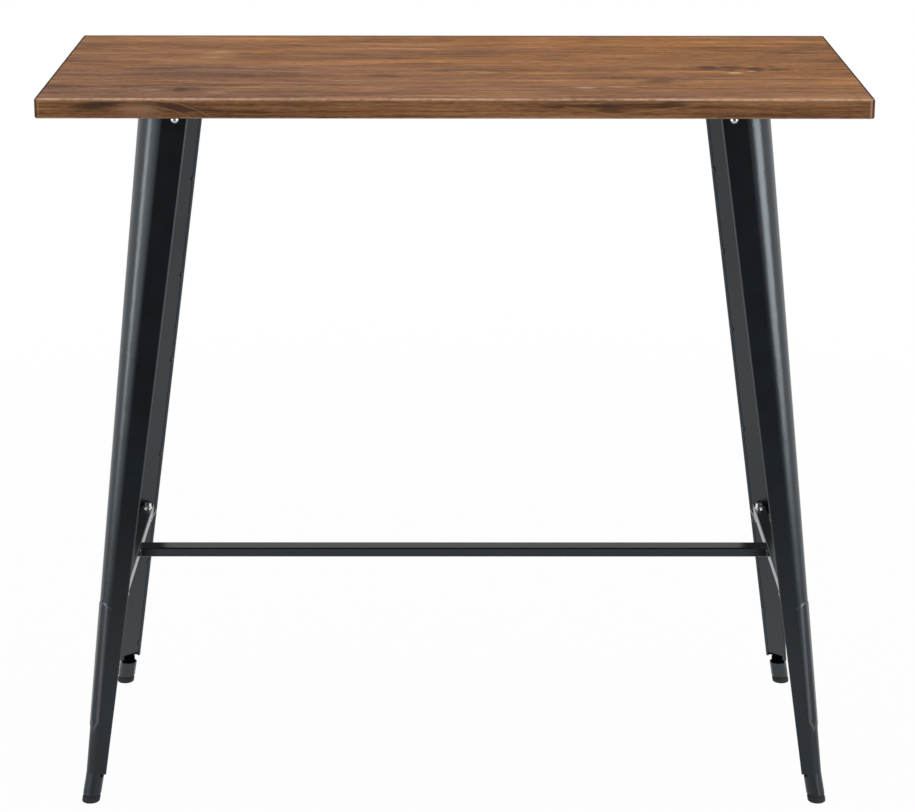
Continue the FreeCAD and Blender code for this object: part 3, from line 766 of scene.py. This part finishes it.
def ring_grid(rings, sides):
    """Points on closed rings by number, their neighbours around the ring, and the quads between rings."""
    index = np.arange(rings * sides).reshape(rings, sides)
    after = np.roll(index, -1, axis=1)
    quads = np.stack([index[:-1], index[1:], after[1:], after[:-1]], axis=-1).reshape(-1, 4)
    return index, after, quads


def bead_piece(name, centres, longs, wides, highs):
    """Weld beads, closed and half sunk: p = c + L cos t + (W cos a + H sin a) sin t (1 + k cos n t)."""
    turned = np.sign(np.einsum("ij,ij->i", np.cross(longs, wides), highs))
    wides = wides * turned[:, None]
    t = np.linspace(0.0, np.pi, BEAD_RINGS + 2)[1:-1]
    a = np.linspace(0.0, 2.0 * np.pi, BEAD_SIDES, endpoint=False)
    swell = (np.sin(t) * (1.0 + BEAD_RIPPLE * np.cos(BEAD_RIPPLES * t)))[None, :, None, None]
    around = wides[:, None, None] * np.cos(a)[:, None] + highs[:, None, None] * np.sin(a)[:, None]
    rings = centres[:, None, None] + longs[:, None, None] * np.cos(t)[None, :, None, None] + around * swell
    poles = np.stack([centres + longs, centres - longs], axis=1)
    points = np.concatenate([rings.reshape(len(centres), -1, 3), poles], axis=1)
    index, after, quads = ring_grid(BEAD_RINGS, BEAD_SIDES)
    first = np.stack([np.full(BEAD_SIDES, index.size), index[0], after[0]], axis=-1)
    last = np.stack([np.full(BEAD_SIDES, index.size + 1), after[-1], index[-1]], axis=-1)
    start = (np.arange(len(centres)) * points.shape[1])[:, None, None]
    faces = []
    for part in (quads, first, last):
        faces += (part[None] + start).reshape(-1, part.shape[1]).tolist()
    add_piece(name, points.reshape(-1, 3), faces, "foot_bar")


def add_piece(name, points, faces, coat_from):
    """Add a smooth piece of the steel frame, with the finish of a CAD node."""
    mesh = bpy.data.meshes.new(name)
    mesh.from_pydata(points.tolist(), [], faces)
    mesh.polygons.foreach_set("use_smooth", np.ones(len(faces), dtype=bool))
    mesh.materials.append(NODES[coat_from].data.materials[0])
    piece = bpy.data.objects.new(name, mesh)
    bpy.context.scene.collection.objects.link(piece)
    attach(piece, "root")


def land_points():
    """Land on a rear right leg's rib: p = c(z) + (r(z) + h) (cos q, sin q), q = pi / 4 + asin(u / r).

    Its outline is an arch over a point. h rises as 3 t^2 - 2 t^3 with the depth inside the outline, and the
    second layer is its root in the sheet.
    """
    turn = np.linspace(LAND_TIP, np.pi - LAND_TIP, LAND_ROWS)
    z = (LAND_LOW_Z + (LAND_HIGH_Z - LAND_LOW_Z) * (1.0 - np.cos(turn)) / 2)[:, None]
    over = np.maximum(z - (LAND_HIGH_Z - LAND_HALF), 0.0)
    half = np.minimum(np.sqrt(LAND_HALF ** 2 - over ** 2), (z - LAND_LOW_Z) * LAND_HALF / LAND_POINT)
    side = half * np.linspace(-1.0, 1.0, LAND_COLUMNS)
    arched = LAND_HALF - np.hypot(side, over)
    pointed = (z - LAND_LOW_Z) * LAND_HALF - np.abs(side) * LAND_POINT
    pointed = pointed / math.hypot(LAND_HALF, LAND_POINT)
    t = np.clip(np.minimum(arched, pointed) / LAND_BEVEL, 0.0, 1.0)
    height = np.stack([LAND_RISE * t ** 2 * (3.0 - 2.0 * t) - LAND_SINK, np.full_like(t, -LAND_ROOT)])
    corner = leg_taper(z, LEG_ROUND_LOW, LEG_ROUND_TOP)
    radius = corner + RIB_RISE
    q = np.pi / 4 + np.arcsin((side + RIB_SHIFT) / radius)
    down = leg_lean(z)
    x = down * LEG_LEAN_X + LEG_OUTER_X - corner + (radius + height) * np.cos(q)
    y = down * LEG_LEAN_Y + LEG_OUTER_Y - corner + (radius + height) * np.sin(q)
    return np.stack([x, y, np.broadcast_to(z, x.shape)], axis=-1)


def shell_faces(rows, columns):
    """Faces that close two layers of a grid: the outer one, the inner one turned round, and the rim."""
    outer = np.arange(rows * columns).reshape(rows, columns)
    quads = np.stack([outer[:-1, :-1], outer[:-1, 1:], outer[1:, 1:], outer[1:, :-1]], axis=-1)
    quads = quads.reshape(-1, 4)
    rim = np.concatenate([outer[0, :-1], outer[:-1, -1], outer[-1, :0:-1], outer[:0:-1, 0]])
    after = np.roll(rim, -1)
    deep = rows * columns
    walls = np.stack([after, rim, rim + deep, after + deep], axis=-1)
    return np.concatenate([quads, quads[:, ::-1] + deep, walls])


def seam_point(z):
    """Middle of the seam on a rear right leg's diagonal face at heights z.

    It is the middle of the fold's round, moved along the face and then out to it.
    """
    inset = leg_taper(z, LEG_WIDTH_LOW, LEG_WIDTH_TOP) - LEG_FOLD
    x = LEG_OUTER_X + LEG_LEAN_X * leg_lean(z) - inset
    y = LEG_OUTER_Y + LEG_LEAN_Y * leg_lean(z) - LEG_FOLD
    x = x + HALF_ROOT * (SEAM_FROM_FOLD - LEG_FOLD)
    y = y - HALF_ROOT * (SEAM_FROM_FOLD + LEG_FOLD)
    return np.stack([x, y, z], axis=-1)


class TABLE_OT_seam_tacks(bpy.types.Operator):
    """Add the tack welds on the legs' seams"""

    bl_idname = "bar_table.seam_tacks"
    bl_label = "Seam Tacks"

    def execute(self, context):
        weld = context.scene.bar_table.weld
        sides = np.repeat(FOUR_CORNERS, len(TACKS_LEFT), axis=0)
        z = np.concatenate([TACKS_LEFT, TACKS_RIGHT, TACKS_LEFT, TACKS_RIGHT])
        centres = seam_point(z) * sides
        along = (seam_point(z + SEAM_STEP) - seam_point(z - SEAM_STEP)) * sides
        along = along / np.linalg.norm(along, axis=1, keepdims=True)
        across = np.array([HALF_ROOT, -HALF_ROOT, 0.0]) * sides
        inwards = np.array([-HALF_ROOT, -HALF_ROOT, 0.0]) * sides
        bead_piece("seam_tacks", centres, along * weld.tack_length / 2, across * weld.tack_width / 2,
                   inwards * weld.tack_height)
        return {"FINISHED"}


class TABLE_OT_rib_lands(bpy.types.Operator):
    """Add the raised lands on the legs' pressed ribs"""

    bl_idname = "bar_table.rib_lands"
    bl_label = "Rib Lands"

    def execute(self, context):
        land = land_points()
        faces = shell_faces(*land.shape[1:3])
        land = land.reshape(-1, 3)
        points = (FOUR_CORNERS[:, None] * land).reshape(-1, 3)
        turned = FOUR_CORNERS[:, 0] * FOUR_CORNERS[:, 1] < 0.0
        groups = [(faces[:, ::-1] if flip else faces) + place * len(land)
                  for place, flip in enumerate(turned)]
        add_piece("rib_lands", points, np.concatenate(groups).tolist(), "leg_front_left")
        return {"FINISHED"}


class TABLE_OT_frame_welds(bpy.types.Operator):
    """Add the weld beads at the ends of the foot bar and where the tabs meet the legs"""

    bl_idname = "bar_table.frame_welds"
    bl_label = "Frame Welds"

    def execute(self, context):
        radius = context.scene.bar_table.weld.bead_radius
        bar_low, bar_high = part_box("foot_bar")
        middle = (bar_low.z + bar_high.z) / 2
        half = (bar_high.z - bar_low.z) / 2
        centres = np.array([bar_high.x, bar_high.y, middle]) * FOUR_CORNERS
        longs = np.array([0.0, 0.0, BAR_WELD_SHARE * half]) * FOUR_CORNERS
        wides = np.array([radius, 0.0, 0.0]) * FOUR_CORNERS
        highs = np.array([0.0, radius, 0.0]) * FOUR_CORNERS
        bead_piece("bar_end_welds", centres, longs, wides, highs)

        # On a rear right leg's diagonal face x and y add up to the same total at one height
        tab_low, tab_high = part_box("rail_tab_rear_right")
        z = tab_high.z
        total = (LEG_OUTER_X + LEG_OUTER_Y + (LEG_LEAN_X + LEG_LEAN_Y) * leg_lean(z)
                 - leg_taper(z, LEG_WIDTH_LOW, LEG_WIDTH_TOP) - math.sqrt(2.0) * LEG_FOLD)
        x = (tab_low.x + tab_high.x) / 2
        reach = TAB_WELD_SHARE * (tab_high.x - tab_low.x)
        centres = np.array([x, total - x, z]) * FOUR_CORNERS
        longs = np.array([reach, -reach, 0.0]) * FOUR_CORNERS
        wides = np.array([0.0, 0.0, radius]) * FOUR_CORNERS
        highs = np.array([-HALF_ROOT * radius, -HALF_ROOT * radius, 0.0]) * FOUR_CORNERS
        bead_piece("tab_welds", centres, longs, wides, highs)
        return {"FINISHED"}


# Soft lamps: name, place, what it faces, width and height in metres, power in watts
HEART = (0.0, 0.0, 0.8)
LAMPS = (
    ("softbox_left", (-3.5, -1.9, 1.15), HEART, 1.0, 1.6, 26.0),
    ("softbox_left_fill", (-2.4, -3.2, 1.2), HEART, 2.0, 1.8, 10.0),
    ("softbox_right", (3.1, -2.55, 1.2), HEART, 2.0, 1.6, 57.0),
    ("softbox_over", (0.0, 0.2, 4.2), (0.0, 0.0, 0.6), 3.0, 2.2, 85.0),
)

# The camera's sensor in millimetres, and how far it sees in metres
SENSOR_WIDTH = 36.0
VIEW_END = 100.0

# Where gloss finds the world pale, by direction: behind the table, at its sides, and low at the right
BEHIND_FADE, BESIDE_FADE = (-0.3, 0.8), (0.1, 0.8)
LOW_FADE, LOW_RIGHT_FADE, LOW_SHARE = (-0.03, -0.14), (0.0, 0.12), 0.12

# The floor: rings and rim as shares of its radius, points on a ring, and the white it shows inside its rim
FLOOR_RINGS, FLOOR_SIDES = (0.2, 0.5, 0.8, 1.0), 96
FLOOR_RIM, FLOOR_WHITE = (0.3, 0.95), 0.98
WHITE = (1.0, 1.0, 1.0, 1.0)

# Where gloss finds the floor darker, in metres along x or y, and by how much
FAR_FADE, FAR_DUSK = (-0.4, -3.2), 0.74
RIGHT_FADE, RIGHT_LESS = (0.3, 0.9), 0.14
NEAR_FADE, NEAR_DUSK = (0.2, -0.4), 0.2
STEP_FADE, STEP_DUSK = (-1.3, -0.45), 0.27
UNDER_FADE, UNDER_SPAN, UNDER_DUSK = (-0.2, 0.1), (0.95, 0.0), 0.28


def add_lamp(name, place, target, wide, tall, power):
    """Add a soft rectangular lamp at a place, facing a target."""
    data = bpy.data.lights.new(name, "AREA")
    data.shape = "RECTANGLE"
    data.size = wide
    data.size_y = tall
    data.energy = power
    lamp = bpy.data.objects.new(name, data)
    lamp.location = place
    lamp.rotation_euler = (Vector(target) - Vector(place)).to_track_quat("-Z", "Y").to_euler()
    bpy.context.scene.collection.objects.link(lamp)


def add_camera(studio):
    """Add the camera: forward from pitch and yaw, right and up from forward and roll."""
    sin_yaw, cos_yaw = math.sin(studio.yaw), math.cos(studio.yaw)
    sin_pitch, cos_pitch = math.sin(studio.pitch), math.cos(studio.pitch)
    level = Vector((cos_yaw, -sin_yaw, 0.0))
    ahead = Vector((sin_yaw * cos_pitch, cos_yaw * cos_pitch, -sin_pitch))
    up = level.cross(ahead)
    right = math.cos(studio.roll) * level - math.sin(studio.roll) * up
    up = right.cross(ahead)
    data = bpy.data.cameras.new("studio_camera")
    data.sensor_width = SENSOR_WIDTH
    data.lens = studio.lens
    data.clip_end = VIEW_END
    camera = bpy.data.objects.new("studio_camera", data)
    turn = Matrix((right, up, -ahead)).transposed().to_4x4()
    camera.matrix_world = Matrix.Translation(Vector(studio.camera_place)) @ turn
    bpy.context.scene.collection.objects.link(camera)
    bpy.context.scene.camera = camera


def seen(wire, *kinds):
    """1 for the given kinds of ray, 0 for the others."""
    total = None
    for kind in kinds:
        ray = wire.node("LightPath", {}, {}, "Is %s Ray" % kind)
        total = ray if total is None else total.larger(ray)
    return total


def add_world(studio):
    """Add soft light from all round: plain white to look at, paler in gloss behind and beside the table."""
    world = bpy.data.worlds.new("studio_world")
    world.use_nodes = True
    bpy.context.scene.world = world
    wire = Wire(world.node_tree)
    east, north, height = wire.node("TexCoord", {}, {}, "Generated").apart()
    gloss = north.smooth(*BEHIND_FADE) * (studio.backdrop - studio.room) + studio.room
    gloss = gloss + (1.0 - gloss) * abs(east).smooth(*BESIDE_FADE)
    gloss = gloss + height.smooth(*LOW_FADE) * east.smooth(*LOW_RIGHT_FADE) * LOW_SHARE
    plain = seen(wire, "Camera", "Transmission")
    glossy = seen(wire, "Glossy") * (1.0 - plain)
    strength = plain + glossy * gloss + (1.0 - plain - glossy) * studio.sky
    background = world.node_tree.nodes["Background"]
    background.inputs["Color"].default_value = WHITE
    world.node_tree.links.new(strength.socket, background.inputs["Strength"])


def floor_dusk(place):
    """How much darker gloss finds the floor: towards the camera, in front of the table and under it."""
    east, north, _ = place.apart()
    far = north.smooth(*FAR_FADE) * (FAR_DUSK - east.smooth(*RIGHT_FADE) * RIGHT_LESS)
    near = north.smooth(*NEAR_FADE) * (north.smooth(*STEP_FADE) * STEP_DUSK + NEAR_DUSK)
    under = north.smooth(*UNDER_FADE) * abs(east).smooth(*UNDER_SPAN) * UNDER_DUSK
    return far + near + under


def floor_finish(studio):
    """Pale floor: nearly plain white to look at, so that the shadow stays, and duller in gloss."""
    place, finish = new_material(
        "studio_floor", Base_Color=as_colour(studio.floor), Roughness=0.9, Specular_IOR_Level=0.0)
    tree = place.tree
    dusk = seen(place, "Glossy") * floor_dusk(place)
    white = place.node("Emission", {}, {"Color": 1.0 - dusk, "Strength": 1.0})
    rim = place.far().smooth(*(part * studio.floor_radius for part in FLOOR_RIM))
    factor = seen(place, "Camera", "Transmission", "Glossy") * (rim * (1.0 - FLOOR_WHITE) + FLOOR_WHITE)
    shaded = Wire(tree, tree.nodes["Principled BSDF"].outputs[0])
    both = place.node("MixShader", {}, {0: factor, 1: shaded, 2: white})
    tree.links.new(both.socket, tree.nodes["Material Output"].inputs["Surface"])
    return finish()


def add_floor(studio):
    """Add a pale disc that keeps the table's shadow: p = r (cos t, sin t, 0) on rings of growing radius."""
    turn = np.linspace(0.0, 2.0 * np.pi, FLOOR_SIDES, endpoint=False)
    radii = studio.floor_radius * np.array(FLOOR_RINGS)
    x = np.outer(radii, np.cos(turn)).ravel()
    y = np.outer(radii, np.sin(turn)).ravel()
    points = np.column_stack([x, y, np.zeros_like(x)])
    index, _, quads = ring_grid(len(FLOOR_RINGS), FLOOR_SIDES)
    mesh = bpy.data.meshes.new("studio_floor")
    mesh.from_pydata(points.tolist(), [], quads.tolist() + [index[0].tolist()])
    mesh.materials.append(floor_finish(studio))
    floor = bpy.data.objects.new("studio_floor", mesh)
    bpy.context.scene.collection.objects.link(floor)
    floor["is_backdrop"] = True


class TABLE_OT_studio(bpy.types.Operator):
    """Set up the camera, the world, the floor and the soft lamps"""

    bl_idname = "bar_table.studio"
    bl_label = "Studio"

    def execute(self, context):
        studio = context.scene.bar_table.studio
        add_camera(studio)
        add_world(studio)
        add_floor(studio)
        for lamp in LAMPS:
            add_lamp(*lamp)
        context.scene.view_settings.view_transform = "Standard"
        return {"FINISHED"}


class TABLE_PT_panel(bpy.types.Panel):
    """Lists the table's pieces and its studio"""

    bl_label = "Bar Table"
    bl_idname = "TABLE_PT_panel"
    bl_space_type = "VIEW_3D"
    bl_region_type = "UI"
    bl_category = "Bar Table"

    def draw(self, context):
        for operator in OPERATORS:
            self.layout.operator(operator.bl_idname)


SETTINGS = (WoodSettings, SteelSettings, WeldSettings, StudioSettings, BarTableSettings)
OPERATORS = (TABLE_OT_wood_top, TABLE_OT_coated_steel, TABLE_OT_seam_tacks, TABLE_OT_frame_welds,
             TABLE_OT_rib_lands, TABLE_OT_fasteners, TABLE_OT_feet, TABLE_OT_studio)
CLASSES = (*SETTINGS, *OPERATORS, TABLE_PT_panel)


def register():
    """Make the settings, operators and panel known to Blender."""
    for cls in CLASSES:
        bpy.utils.register_class(cls)
    bpy.types.Scene.bar_table = bpy.props.PointerProperty(type=BarTableSettings)


def unregister():
    """Take them away again."""
    del bpy.types.Scene.bar_table
    for cls in reversed(CLASSES):
        bpy.utils.unregister_class(cls)


def main():
    """Dress the table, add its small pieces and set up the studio."""
    register()
    bpy.ops.bar_table.wood_top()
    bpy.ops.bar_table.coated_steel()
    bpy.ops.bar_table.seam_tacks()
    bpy.ops.bar_table.frame_welds()
    bpy.ops.bar_table.rib_lands()
    bpy.ops.bar_table.fasteners()
    bpy.ops.bar_table.feet()
    bpy.ops.bar_table.studio()
    boxes = {"cad": CAD_BOX, "visual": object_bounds()}
    plain = {name: [list(corner) for corner in box] for name, box in boxes.items()}


if __name__ == "__main__":
    main()
